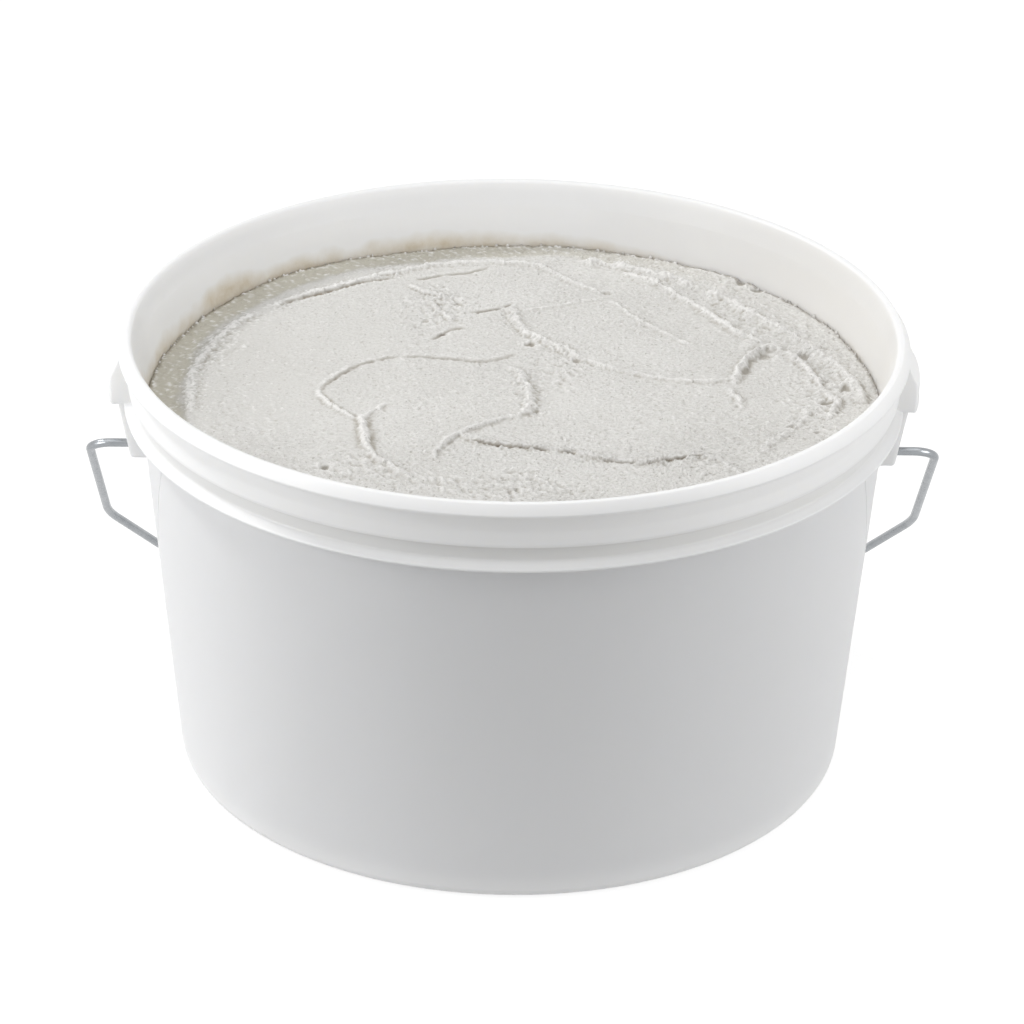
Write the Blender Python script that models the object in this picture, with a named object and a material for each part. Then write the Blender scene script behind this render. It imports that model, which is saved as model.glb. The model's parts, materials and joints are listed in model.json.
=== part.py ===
"""Tub of microcement: a moulded plastic tub, its wire bail, and the trowelled paste inside.

Lengths are in millimetres in the constants and functions below, and are turned into metres
where the meshes are made. The tub stands on the ground plane, its axis is Z, and the bail
turns about a line along X through the two ears.
"""

import math

import bmesh
import bpy

MM = 0.001

# Tub: overall sizes
RIM_RADIUS = 135.0           # outside of the rolled rim bead
TUB_HEIGHT = 156.0           # ground to the top of the rim
BASE_RADIUS = 116.0          # outside of the wall, carried down to the ground
WALL_THICKNESS = 1.8
FLOOR_THICKNESS = 2.2
FOOT_HEIGHT = 2.5            # how far the floor stands above the ground
FOOT_WIDTH = 5.0             # width of the ring that the tub stands on
BASE_CORNER = 4.0            # outer radius between wall and foot
FLOOR_CORNER = 6.0           # inner radius between wall and floor

# Tub: rim bead and collar, insets measured from the rim radius and depths from the rim top
BEAD_WIDTH = 4.6
BEAD_HEIGHT = 4.4
BAND_INSET = 4.0             # hollow band below the bead
BAND_LIP_INSET = 3.1         # lip that ends the band
BAND_HEIGHT = 11.8
BAND_FOOT = 5.3              # lower part of the band, which slopes out to the lip
LIP_EDGE = 0.5               # upright edge of the lip, and the slope below it
GROOVE_INSET = 5.3           # groove between the band and the lower ring
GROOVE_HEIGHT = 5.6
RING_INSET = 1.7             # lower ring, which stiffens the wall
RING_HEIGHT = 2.6
WALL_INSET = 7.3             # outside of the wall just below the ring
LIP_FLARE = 6.1              # inside of the wall just below the bead

# Ears, one at each end of the X axis
HOOD_REACH = 3.7             # how far the hood stands out past the bead
HOOD_HALF_WIDTH = 14.0
HOOD_BROW = 8.8              # bead's underside to the edge where the hood turns down
HOOD_FACE = 10.4             # height of the hood's upright face
HOOD_ROOT = 1.0              # how far the hood runs into the bead
BROW_EDGE = 1.0              # bevel where the hood turns down
HOOD_END_DROP = 1.1          # how far the hood's face falls back at its two ends
EAR_HALF_WIDTH = 5.5
EAR_STANDOFF = 6.4           # ear's outer face to the wall, at the pivot
EAR_DRAFT = 5.4              # degrees that the ear's face leans in more than the wall
EAR_PLATE = 2.2              # plate that the bail's end passes through
EAR_EDGE = 1.6               # material left below the pivot hole
EAR_ROUNDING = 1.2
POCKET_SIDE = 2.2            # side wall of the open pocket behind the plate
PIVOT_DEPTH = 44.9           # pivot axis below the rim top

# Bail
WIRE_DIAMETER = 3.0
HEAD_DIAMETER = 5.2          # upset head that keeps each end in its ear
HEAD_THICKNESS = 1.5
HEAD_STEP = 0.05             # stretch in which the wire widens to its head
LEG_CLEARANCE = 6.2          # between the bail's legs and the hoods
SHOULDER_LENGTH = 87.0       # straight stretch of each leg, from the pivot
LEG_LEAN = 19.5              # degrees that a leg leans in past its shoulder
EAR_BEND = 8.0               # centre-line bend radii, from the ear to the crown
SHOULDER_BEND = 14.0
CROWN_BEND = 45.0

# Paste
FILL_DEPTH = 24.0            # rim top to the paste's general level
TROUGH_WIDTH = 9.0           # channel that the trowel leaves along the wall
TROUGH_DEPTH = 2.2
RIDGE_WIDTH = 4.2
RIDGE_HEIGHT = 2.4
SWELL_HEIGHT = 0.9           # slow rise and fall of the surface
SWELL_LENGTH = 29.0          # run of a swell, for each radian of its wave
SWELL_SHIFT = 0.6            # radians by which the swells miss the tub's axis

# Clearances
TOUCH_GAP = 0.3              # between pieces that rest on one another
PIVOT_CLEARANCE = 0.3        # wire to hole, on the radius
HEAD_GAP = 0.6               # upset head to the ear's plate
HEAD_HEADROOM = 1.2          # upset head to the top of its pocket
GROUND_GAP = 0.6             # bail's crown above the ground at rest
SWING_CLEARANCE = 4.0        # bail's crown to the rim as it swings over

# Facets
SEGMENTS = 72
CORNER_STEPS = 4
RING_STEPS = 6
BEAD_STEPS = 9
HOOD_STEPS = 8
HOLE_SIDES = 16
EAR_BEND_STEPS = 8
SHOULDER_BEND_STEPS = 4
CROWN_BEND_STEPS = 10
WIRE_RESOLUTION = 3
PASTE_RINGS = 19
SHARP_ANGLE = 35.0           # degrees between faces that stay a hard edge
TOLERANCE = 0.01             # points closer than this count as one place

# Trowel marks: plan points of the ridges that the blade left, each with a share of the full height
TROWEL_MARKS = [
    (0.8, [(2, 34), (-30, 29), (-49, 25), (-59, 14), (-67, -4), (-57, -20)]),
    (1.0, [(-57, -20), (-51, -28), (-46, -46), (-38, -61)]),
    (0.8, [(-5, 27), (3, 19), (7, -6), (-11, -26), (-26, -43)]),
    (1.0, [(-16, -35), (16, -44), (59, -51), (76, -58)]),
    (0.8, [(0, 74), (4, 52), (11, 15)]),
    (0.8, [(-35, 104), (-13, 108), (9, 106), (33, 86)]),
    (0.7, [(9, 40), (30, 18), (75, 11), (79, 28), (94, 40)]),
    (0.9, [(16, 108), (45, 92), (74, 68), (98, 40), (114, 14)]),
    (0.9, [(-113, 15), (-98, 50), (-63, 84), (-28, 104)]),
]

# Derived places
collar_depth = BEAD_HEIGHT + BAND_HEIGHT + GROOVE_HEIGHT + RING_HEIGHT
collar_z = TUB_HEIGHT - collar_depth
wall_slope = (RIM_RADIUS - WALL_INSET - BASE_RADIUS) / collar_z
floor_z = FOOT_HEIGHT + FLOOR_THICKNESS
pivot_z = TUB_HEIGHT - PIVOT_DEPTH
hood_top_depth = BEAD_HEIGHT + HOOD_BROW
hood_bottom_depth = hood_top_depth + HOOD_FACE
hood_radius = RIM_RADIUS + HOOD_REACH
wire_radius = WIRE_DIAMETER / 2
hole_radius = wire_radius + PIVOT_CLEARANCE
ear_bottom_z = pivot_z - hole_radius - EAR_EDGE


def wall_radius(z):
    """Outside of the plain wall at a height."""
    return BASE_RADIUS + wall_slope * z


def inner_radius(z):
    """Inside of the tub at a height: the wall's line, flaring out through the collar."""
    plain = wall_radius(min(z, collar_z)) - WALL_THICKNESS
    flare_height = collar_depth - BEAD_HEIGHT
    flare = (RIM_RADIUS - LIP_FLARE - (wall_radius(collar_z) - WALL_THICKNESS)) / flare_height
    return plain + flare * max(0.0, z - collar_z)


def ear_face(z):
    """Outer face of an ear's block at a height."""
    lean = math.tan(math.radians(EAR_DRAFT)) + wall_slope
    return wall_radius(pivot_z) + EAR_STANDOFF + lean * (z - pivot_z)


def arc(centre_r, centre_z, radius, start, end, steps):
    """Points (r, z) along an arc, its angles in degrees from the +r direction."""
    points = []
    for i in range(steps + 1):
        angle = math.radians(start + (end - start) * i / steps)
        points.append((centre_r + radius * math.cos(angle), centre_z + radius * math.sin(angle)))
    return points


def new_object(name, mesh):
    thing = bpy.data.objects.new(name, mesh)
    bpy.context.scene.collection.objects.link(thing)
    return thing


def mesh_object(name, bm):
    """A named object from a bmesh in millimetres, shaded smooth except at sharp edges."""
    bmesh.ops.recalc_face_normals(bm, faces=bm.faces)
    bmesh.ops.scale(bm, vec=(MM, MM, MM), verts=bm.verts)
    mesh = bpy.data.meshes.new(name)
    bm.to_mesh(mesh)
    bm.free()
    mesh.shade_smooth()
    mesh.set_sharp_from_angle(angle=math.radians(SHARP_ANGLE))
    return new_object(name, mesh)


def material(thing, name, colour, roughness, metallic):
    made = bpy.data.materials.new(name)
    made.use_nodes = True
    shader = made.node_tree.nodes["Principled BSDF"]
    shader.inputs["Base Color"].default_value = (*colour, 1.0)
    shader.inputs["Roughness"].default_value = roughness
    shader.inputs["Metallic"].default_value = metallic
    thing.data.materials.append(made)


def as_cutter(thing):
    thing.hide_render = True
    thing.display_type = "WIRE"


def boolean(thing, operation, other):
    modifier = thing.modifiers.new(operation.title() + " " + other.name, "BOOLEAN")
    modifier.operation = operation
    modifier.solver = "EXACT"
    modifier.object = other
    as_cutter(other)


def revolve(profile):
    """A closed bmesh turned about Z from a profile that starts and ends on the axis."""
    bm = bmesh.new()
    verts = [bm.verts.new((r, 0.0, z)) for r, z in profile]
    edges = [bm.edges.new(pair) for pair in zip(verts, verts[1:])]
    bmesh.ops.spin(
        bm,
        geom=verts + edges,
        cent=(0, 0, 0),
        axis=(0, 0, 1),
        angle=2 * math.pi,
        steps=SEGMENTS,
        use_merge=True,
    )
    bmesh.ops.remove_doubles(bm, verts=bm.verts, dist=TOLERANCE)
    return bm


def prism(sections):
    """A closed bmesh lofted through sections, which are lists of as many points each."""
    bm = bmesh.new()
    loops = [[bm.verts.new(point) for point in section] for section in sections]
    count = len(loops[0])
    for near, far in zip(loops, loops[1:]):
        for i in range(count):
            j = (i + 1) % count
            bm.faces.new((near[i], near[j], far[j], far[i]))
    bm.faces.new(loops[0])
    bm.faces.new(loops[-1])
    return bm


def outer_profile():
    """Underside and outside of the tub, from the middle of the floor up to the bead."""
    tilt = math.degrees(math.atan(wall_slope))
    corner_r = BASE_RADIUS + BASE_CORNER * (wall_slope - math.hypot(1, wall_slope))
    foot_inside = corner_r - FOOT_WIDTH
    ring_radius = RING_HEIGHT / 2
    ring_r = RIM_RADIUS - RING_INSET - ring_radius
    groove_r = RIM_RADIUS - GROOVE_INSET
    groove_z = collar_z + RING_HEIGHT
    lip_r = RIM_RADIUS - BAND_LIP_INSET
    lip_z = groove_z + GROOVE_HEIGHT
    band_r = RIM_RADIUS - BAND_INSET
    band_top = lip_z + BAND_HEIGHT
    points = [(0.0, FOOT_HEIGHT), (foot_inside - FOOT_HEIGHT, FOOT_HEIGHT), (foot_inside, 0.0)]
    points += arc(corner_r, BASE_CORNER, BASE_CORNER, -90, -tilt, CORNER_STEPS)
    points += [(wall_radius(collar_z), collar_z)]
    points += arc(ring_r, collar_z + ring_radius, ring_radius, -90, 90, RING_STEPS)
    points += [(groove_r, groove_z), (groove_r, lip_z - LIP_EDGE)]
    points += [(lip_r, lip_z), (lip_r, lip_z + LIP_EDGE)]
    points += [(band_r, lip_z + BAND_FOOT), (band_r, band_top)]
    return points


def bead_profile():
    """The rolled bead, from its underside over the top to the inner lip."""
    half_width = BEAD_WIDTH / 2
    middle_r = RIM_RADIUS - half_width
    middle_z = TUB_HEIGHT - BEAD_HEIGHT / 2
    points = []
    for cosine, sine in arc(0.0, 0.0, 1.0, -60, 210, BEAD_STEPS):
        points.append((middle_r + half_width * cosine, middle_z + BEAD_HEIGHT / 2 * sine))
    return points


def inside_profile():
    """The inside of the tub, from just below the bead down to the middle of the floor."""
    corner_z = floor_z + FLOOR_CORNER
    corner_r = inner_radius(corner_z) - FLOOR_CORNER
    points = [(inner_radius(z), z) for z in (TUB_HEIGHT - BEAD_HEIGHT, collar_z)]
    points += arc(corner_r, corner_z, FLOOR_CORNER, 0, -90, CORNER_STEPS)
    points += [(0.0, floor_z)]
    return points


def hood_section(y):
    """Outline of the hood at a distance along the rim from the ear's middle."""
    share = abs(y) / HOOD_HALF_WIDTH
    face = hood_radius - HOOD_END_DROP * share ** 4
    inside_bead = RIM_RADIUS - BEAD_WIDTH / 2
    top_z = TUB_HEIGHT - BEAD_HEIGHT / 2
    brow_z = TUB_HEIGHT - hood_top_depth
    bottom_z = TUB_HEIGHT - hood_bottom_depth
    root = wall_radius(bottom_z) - WALL_THICKNESS / 2
    outline = [
        (inside_bead - HOOD_ROOT, top_z),
        (inside_bead, top_z),
        (face - BROW_EDGE / 2, brow_z + BROW_EDGE),
        (face, brow_z - BROW_EDGE),
        (face, bottom_z),
        (root, bottom_z),
    ]
    return [(math.sqrt(r * r - y * y), y, z) for r, z in outline]


def ear_block():
    """Block below the hood that carries the bail, its outer edges rounded."""
    top_z = TUB_HEIGHT - hood_bottom_depth + HOOD_FACE / 2
    sections = []
    for y in (-EAR_HALF_WIDTH, EAR_HALF_WIDTH):
        corners = []
        for z in (ear_bottom_z, top_z):
            corners.append((wall_radius(z) - WALL_THICKNESS / 2, y, z))
            corners.append((ear_face(z), y, z))
        corners[2], corners[3] = corners[3], corners[2]
        sections.append(corners)
    bm = prism(sections)
    rounded = []
    for edge in bm.edges:
        middle = (edge.verts[0].co + edge.verts[1].co) / 2
        outside = middle.x > ear_face(middle.z) - TOLERANCE
        if outside and middle.z < top_z - TOLERANCE:
            rounded.append(edge)
    bmesh.ops.bevel(bm, geom=rounded, offset=EAR_ROUNDING, segments=3, profile=0.5, affect="EDGES")
    return bm


def ear_pocket():
    """Pocket behind the ear's plate, open below, where the bail's upset head turns."""
    half_width = EAR_HALF_WIDTH - POCKET_SIDE
    top_z = pivot_z + HEAD_DIAMETER / 2 + HEAD_HEADROOM
    low_z = ear_bottom_z - EAR_EDGE
    sections = []
    for y in (-half_width, half_width):
        sections.append([
            (wall_radius(low_z) + TOUCH_GAP, y, low_z),
            (ear_face(low_z) - EAR_PLATE, y, low_z),
            (ear_face(top_z) - EAR_PLATE, y, top_z),
            (wall_radius(top_z) + TOUCH_GAP, y, top_z),
        ])
    return prism(sections)


def pivot_hole():
    """Round hole through the ear's plate, along X."""
    start = wall_radius(pivot_z) + EAR_STANDOFF / 2
    end = ear_face(pivot_z) + EAR_STANDOFF
    sections = []
    for x in (start, end):
        ring = []
        for i in range(HOLE_SIDES):
            turn = 2 * math.pi * i / HOLE_SIDES
            ring.append((x, hole_radius * math.cos(turn), pivot_z + hole_radius * math.sin(turn)))
        sections.append(ring)
    return prism(sections)


def make_ear(name, turn):
    """One moulded ear: hood and block in one, with the pocket and the pivot hole cut out."""
    columns = [HOOD_HALF_WIDTH * (2 * i / HOOD_STEPS - 1) for i in range(HOOD_STEPS + 1)]
    ear = mesh_object(name, prism([hood_section(y) for y in columns]))
    tools = [
        ("UNION", mesh_object(name + "_block", ear_block())),
        ("DIFFERENCE", mesh_object(name + "_pocket", ear_pocket())),
        ("DIFFERENCE", mesh_object(name + "_hole", pivot_hole())),
    ]
    for operation, tool in tools:
        boolean(ear, operation, tool)
    for thing in [ear] + [tool for _, tool in tools]:
        thing.rotation_euler.z = turn
    return ear


def make_tub():
    tub = mesh_object("tub_shell", revolve(outer_profile() + bead_profile() + inside_profile()))
    boolean(tub, "UNION", make_ear("ear_right", 0.0))
    boolean(tub, "UNION", make_ear("ear_left", math.pi))
    material(tub, "white_polypropylene", (0.82, 0.82, 0.81), 0.38, 0.0)
    return tub


def fillet(before, corner, after, radius, steps):
    """Points of the round that replaces a corner of a path in its plane."""
    to_before = (before[0] - corner[0], before[1] - corner[1])
    to_after = (after[0] - corner[0], after[1] - corner[1])
    length_before = math.hypot(*to_before)
    length_after = math.hypot(*to_after)
    one = (to_before[0] / length_before, to_before[1] / length_before)
    two = (to_after[0] / length_after, to_after[1] / length_after)
    inside = math.acos(one[0] * two[0] + one[1] * two[1])
    reach = radius / math.tan(inside / 2)
    middle_length = radius / math.sin(inside / 2)
    bisector = (one[0] + two[0], one[1] + two[1])
    scale = middle_length / math.hypot(*bisector)
    centre = (corner[0] + bisector[0] * scale, corner[1] + bisector[1] * scale)
    start = (corner[0] + one[0] * reach, corner[1] + one[1] * reach)
    spoke = (start[0] - centre[0], start[1] - centre[1])
    cross = one[0] * two[1] - one[1] * two[0]
    sweep = math.copysign(math.pi - inside, -cross)
    points = []
    for i in range(steps + 1):
        turn = sweep * i / steps
        x = spoke[0] * math.cos(turn) - spoke[1] * math.sin(turn)
        y = spoke[0] * math.sin(turn) + spoke[1] * math.cos(turn)
        points.append((centre[0] + x, centre[1] + y))
    return points


def bail_rest():
    """Reach of the crown from the pivot, and the angle below level at which the bail hangs.

    The crown hangs against the wall behind the tub, just clear of the ground. It is never
    shorter than the reach that lets it swing over the rim."""
    crown_z = wire_radius + GROUND_GAP
    drop = pivot_z - crown_z
    hang_reach = math.hypot(wall_radius(crown_z) + wire_radius + TOUCH_GAP, drop)
    swing_reach = math.hypot(RIM_RADIUS, PIVOT_DEPTH) + wire_radius + SWING_CLEARANCE
    reach = max(hang_reach, swing_reach)
    return reach, math.asin(drop / reach)


def bail_path(reach):
    """Centre line of the right half of the bail in its plane, from the wire's end to the crown."""
    leg = hood_radius + LEG_CLEARANCE + wire_radius
    lean = math.tan(math.radians(LEG_LEAN))
    head_end = ear_face(pivot_z) - EAR_PLATE - HEAD_GAP
    tip = (head_end - HEAD_THICKNESS, 0.0)
    ear_corner = (leg, 0.0)
    shoulder = (leg, SHOULDER_LENGTH)
    crown_corner = (leg - (reach - SHOULDER_LENGTH) * lean, reach)
    crown = (0.0, reach)
    head_swell = HEAD_DIAMETER / WIRE_DIAMETER
    points = [(tip, head_swell), ((head_end, 0.0), head_swell), ((head_end + HEAD_STEP, 0.0), 1.0)]
    for before, corner, after, radius, steps in (
        (tip, ear_corner, shoulder, EAR_BEND, EAR_BEND_STEPS),
        (ear_corner, shoulder, crown_corner, SHOULDER_BEND, SHOULDER_BEND_STEPS),
        (shoulder, crown_corner, crown, CROWN_BEND, CROWN_BEND_STEPS),
    ):
        points += [(point, 1.0) for point in fillet(before, corner, after, radius, steps)]
    return points


def make_bail():
    reach, angle = bail_rest()
    half = bail_path(reach)
    other_half = [((-point[0], point[1]), swell) for point, swell in reversed(half)]
    curve = bpy.data.curves.new("bail_handle", "CURVE")
    curve.dimensions = "3D"
    curve.bevel_depth = wire_radius * MM
    curve.bevel_resolution = WIRE_RESOLUTION
    curve.use_fill_caps = True
    spline = curve.splines.new("POLY")
    route = half + other_half
    spline.points.add(len(route) - 1)
    for target, ((x, y), swell) in zip(spline.points, route):
        target.co = (x * MM, y * MM, 0.0, 1.0)
        target.radius = swell
    spline.use_smooth = True
    bail = new_object("bail_handle", curve)
    bail.location.z = pivot_z * MM
    bail.rotation_euler.x = -angle
    material(bail, "galvanised_wire", (0.55, 0.57, 0.60), 0.32, 1.0)
    return bail


def distance_to_path(x, y, path):
    """Distance in plan from a point to a path of straight stretches."""
    best = math.inf
    for (ax, ay), (bx, by) in zip(path, path[1:]):
        dx = bx - ax
        dy = by - ay
        share = ((x - ax) * dx + (y - ay) * dy) / (dx * dx + dy * dy)
        share = min(1.0, max(0.0, share))
        best = min(best, math.hypot(x - ax - share * dx, y - ay - share * dy))
    return best


def paste_relief(x, y, edge):
    """Height of the trowelled surface over the paste's level; edge is the paste's radius."""
    swell_x = math.sin(x / SWELL_LENGTH + SWELL_SHIFT)
    swell_y = math.cos(y / SWELL_LENGTH - SWELL_SHIFT)
    relief = SWELL_HEIGHT * swell_x * swell_y
    from_wall = edge - math.hypot(x, y)
    relief -= TROUGH_DEPTH * math.exp(-((from_wall / TROUGH_WIDTH) ** 2))
    for share, path in TROWEL_MARKS:
        away = distance_to_path(x, y, path) / RIDGE_WIDTH
        relief += share * RIDGE_HEIGHT * math.exp(-away * away)
    return relief


def make_paste():
    level = TUB_HEIGHT - FILL_DEPTH
    bottom_z = floor_z + TOUCH_GAP
    corner_z = bottom_z + FLOOR_CORNER
    edge = inner_radius(level) - TOUCH_GAP
    corner_edge = inner_radius(corner_z) - TOUCH_GAP
    skirt_z = level - 2 * (TROUGH_DEPTH + SWELL_HEIGHT)
    profile = [(0.0, bottom_z)]
    profile += arc(corner_edge - FLOOR_CORNER, corner_z, FLOOR_CORNER, -90, 0, CORNER_STEPS)
    profile += [(inner_radius(skirt_z) - TOUCH_GAP, skirt_z)]
    for i in range(PASTE_RINGS + 1):
        profile.append((edge * (1 - i / PASTE_RINGS), level))
    bm = revolve(profile)
    for vert in bm.verts:
        x, y, z = vert.co
        if z < level - TOLERANCE:
            continue
        vert.co.z = level + paste_relief(x, y, edge)
        radius = math.hypot(x, y)
        if radius > edge - TOLERANCE:
            seated = (inner_radius(vert.co.z) - TOUCH_GAP) / radius
            vert.co.x = x * seated
            vert.co.y = y * seated
    paste = mesh_object("microcement_fill", bm)
    material(paste, "microcement", (0.66, 0.65, 0.62), 0.9, 0.0)
    return paste


def main():
    for thing in list(bpy.data.objects):
        bpy.data.objects.remove(thing, do_unlink=True)
    make_tub()
    make_bail()
    make_paste()


main()
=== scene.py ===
"""Looks of the tub of microcement: moulded tub, galvanised bail and trowelled paste.

Lengths are in millimetres, apart from the studio's, and are turned into metres where meshes,
materials and the camera are made. Points read from the photograph are in its 1024 by 1024
pixels, and are carried onto the paste's level through the same camera.
"""

import json
import math

import bmesh
import bpy
import numpy as np
from mathutils import Matrix, Vector


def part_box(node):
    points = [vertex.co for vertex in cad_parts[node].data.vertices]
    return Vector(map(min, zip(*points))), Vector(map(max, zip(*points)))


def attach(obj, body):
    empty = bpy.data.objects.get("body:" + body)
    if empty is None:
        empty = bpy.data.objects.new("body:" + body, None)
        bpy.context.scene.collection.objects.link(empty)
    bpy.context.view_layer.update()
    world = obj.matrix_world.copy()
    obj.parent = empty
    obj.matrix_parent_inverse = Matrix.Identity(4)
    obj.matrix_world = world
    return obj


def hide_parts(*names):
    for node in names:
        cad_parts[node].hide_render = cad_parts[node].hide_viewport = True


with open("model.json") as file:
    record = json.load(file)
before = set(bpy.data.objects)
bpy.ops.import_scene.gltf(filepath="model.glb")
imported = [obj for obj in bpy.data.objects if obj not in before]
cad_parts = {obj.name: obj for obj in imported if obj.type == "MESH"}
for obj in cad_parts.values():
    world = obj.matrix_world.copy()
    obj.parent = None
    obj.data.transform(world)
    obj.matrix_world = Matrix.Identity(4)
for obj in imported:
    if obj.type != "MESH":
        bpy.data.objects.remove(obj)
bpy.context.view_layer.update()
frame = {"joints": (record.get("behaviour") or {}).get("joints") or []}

MM = 0.001

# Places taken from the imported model
tub_high = [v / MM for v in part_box("tub_shell")[1]]
bail_low, bail_high = [[v / MM for v in corner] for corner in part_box("bail_handle")]
RIM_RADIUS = tub_high[1]
TUB_HEIGHT = tub_high[2]
HOOD_RADIUS = tub_high[0]
PIVOT_Z = frame["joints"][0]["pos_m"][2] / MM

# Camera, as found from the photograph
PHOTO_SIZE = 1024
FOCAL_PIXELS = 4500.0
SENSOR_WIDTH = 36.0
CAMERA_ELEVATION = 26.85
CAMERA_TURN = -0.36          # degrees towards -X
CAMERA_ROLL = 0.79
CAMERA_DISTANCE = 1565.0
CAMERA_AIM_Z = 85.9

# Tub
BASE_RADIUS = 116.0
WALL_THICKNESS = 1.8
FLOOR_THICKNESS = 2.2
FOOT_HEIGHT = 2.5
FOOT_WIDTH = 5.0
BASE_CORNER = 4.0
FLOOR_CORNER = 6.0
BEAD_WIDTH = 4.6
BEAD_HEIGHT = 4.4
BAND_INSET = 4.0
BAND_LIP_INSET = 3.1
BAND_HEIGHT = 11.8
GROOVE_INSET = 5.3
GROOVE_HEIGHT = 5.6
RING_INSET = 1.7
RING_HEIGHT = 2.6
WALL_INSET = 7.3
LIP_FLARE = 6.1
SMALL_ROUND = 0.5            # rounds on the collar's edges and in its corners
TUB_SEGMENTS = 288
PROFILE_STEP = 7.0           # longest stretch of the turned profile
CORNER_STEPS = 5             # stretches in a round of a profile
TUB_SHARP_ANGLE = 38.0       # degrees between faces that stay a hard edge

# Ears
HOOD_HALF_WIDTH = 14.0
HOOD_BROW = 8.8
HOOD_FACE = 10.4
HOOD_END_DROP = 1.1
HOOD_ROUND = 0.9
HOOD_COLUMNS = 17
EAR_HALF_WIDTH = 5.5
EAR_STANDOFF = 6.4
EAR_DRAFT = 5.4
EAR_PLATE = 2.2
EAR_EDGE = 1.6
EAR_ROUND = 1.2
ROUND_SEGMENTS = 3           # stretches in the rounds of the hoods and blocks
ROUND_ANGLE = 30.0           # degrees from which an edge is rounded
POCKET_SIDE = 2.2
WITNESS_RADIUS = 0.45        # groove of the line that the mould's slide leaves around an ear
WITNESS_BOTTOM = 70.0
WITNESS_HALF_TOP = 54.0
WITNESS_HALF_BOTTOM = 14.5
WITNESS_SIDES = 8
HEAD_ROOM = 1.2

# Bail
WIRE_RADIUS = 1.5
HEAD_RADIUS = 2.6
HEAD_THICKNESS = 1.5
PIVOT_CLEARANCE = 0.3
SHOULDER_LENGTH = 87.0
LEG_LEAN = 19.5
EAR_BEND = 8.0
SHOULDER_BEND = 45.0
CROWN_BEND = 45.0
EAR_BEND_STEPS = 16
SHOULDER_BEND_STEPS = 10
CROWN_BEND_STEPS = 28
WIRE_SIDES = 28
WIRE_SHARP_ANGLE = 50.0

# Paste
FILL_DEPTH = 24.0
TOUCH_GAP = 0.3
PASTE_CELLS = 560
TROUGH_WIDTH = 11.0          # channel along the wall
TROUGH_DEPTH = 2.3           # at the left; shallower at the right, running out towards the back
ROUGH_WIDTH = 11.0           # rough band along the wall, where the trowel didn't reach
PLATEAU_RISE = 0.9           # trowelled surface over the paste's level
PATH_STEP = 1.2              # along the curves of the trowel's marks
LINE_REACH = 26.0            # how far to its sides a trowel's line acts
STEP_REACH = 11.0            # how far the drop at a line runs out
CONTACT_WIDTH = 1.1          # strip of crumbs where the paste meets the wall
PROUD_CELLS = 5              # half window over which a point's surroundings are averaged
SKIRT_STEPS = 6              # stretches in the round at the paste's foot
FILM_REACH = 11.5            # highest film of paste on the wall
FILM_EDGE = 5.0              # height over which the film thins out

# Studio, in metres
AMBIENT = 0.47               # light of the surroundings; the background itself is white
FLOOR_HALF = 12.0
FLOOR_TONE = (0.30, 0.30, 0.30, 1)
FLOOR_GLOW = 0.78            # lifts the floor to white where no shadow falls
POOL_GLOW = 0.31             # light that the floor near the tub throws back at it
POOL_NEAR = 0.12
POOL_FAR = 0.45

# Lamps far away, each with its direction, its level and its width in degrees
SUNS = [
    ("top", (0.0, -0.15, 1.0), 0.23, 60),
    ("key", (-0.62, 0.34, 0.70), 0.32, 10),
]

# Lamps near the tub, each with its place, its level and its width
SOFTBOXES = [
    ("left", (-0.49, -0.225, 0.28), 0.312, 0.30),
    ("right", (0.525, -0.225, 0.28), 0.242, 0.30),
]

# Colours of the plastic, of the film of paste on it and of the painted shade in its groove
PLASTIC_TONES = (0.855, 0.858, 0.86), (0.885, 0.885, 0.88)
FILM_TONE = (0.62, 0.55, 0.435)
# painted shade in the collar's groove
GROOVE_PAINTED_SHADE_TONE = (0.46, 0.46, 0.45)
GROOVE_PAINTED_SHADE_SHARE = 0.28          # share of that shade
WIRE_TONES = (0.30, 0.315, 0.33), (0.36, 0.375, 0.39)

# Colours of the paste where it is smooth, sandy and coarse, and of its marks; the smooth paste's darker
# tone, towards the left, is partly painted shade
SMOOTH_SHADED_TONE = (0.725, 0.716, 0.688)
SANDY_TONE = (0.865, 0.856, 0.832)
COARSE_TONE = (0.94, 0.93, 0.905)
CLOUD_TONE = (0.55, 0.535, 0.50)
# painted shade in the channel along the wall, strongest at the left
TROUGH_SHADE_TONE = (0.51, 0.497, 0.468)
DAMP_TONE = (0.63, 0.605, 0.52)
# painted highlight on the crests, and painted shade in the hollows
CREST_HIGHLIGHT_TONE = (0.96, 0.95, 0.93)
HOLLOW_SHADE_TONE = (0.33, 0.285, 0.215)
# the paste's brown in its cracks and at the wall's gap, darkened by painted shade
CRACK_SHADE_TONE = (0.19, 0.145, 0.085)
GRAIN_TONE = (0.45, 0.43, 0.395)
SPECK_TONE = (0.33, 0.30, 0.26)

# Derived places
collar_depth = BEAD_HEIGHT + BAND_HEIGHT + GROOVE_HEIGHT + RING_HEIGHT
collar_z = TUB_HEIGHT - collar_depth
wall_slope = (RIM_RADIUS - WALL_INSET - BASE_RADIUS) / collar_z
floor_z = FOOT_HEIGHT + FLOOR_THICKNESS
hood_brow_z = TUB_HEIGHT - BEAD_HEIGHT - HOOD_BROW
hood_bottom_z = hood_brow_z - HOOD_FACE
hole_radius = WIRE_RADIUS + PIVOT_CLEARANCE
ear_bottom_z = PIVOT_Z - hole_radius - EAR_EDGE
fill_z = TUB_HEIGHT - FILL_DEPTH


def wall_radius(z):
    """Outside of the plain wall at a height."""
    return BASE_RADIUS + wall_slope * z


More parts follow.
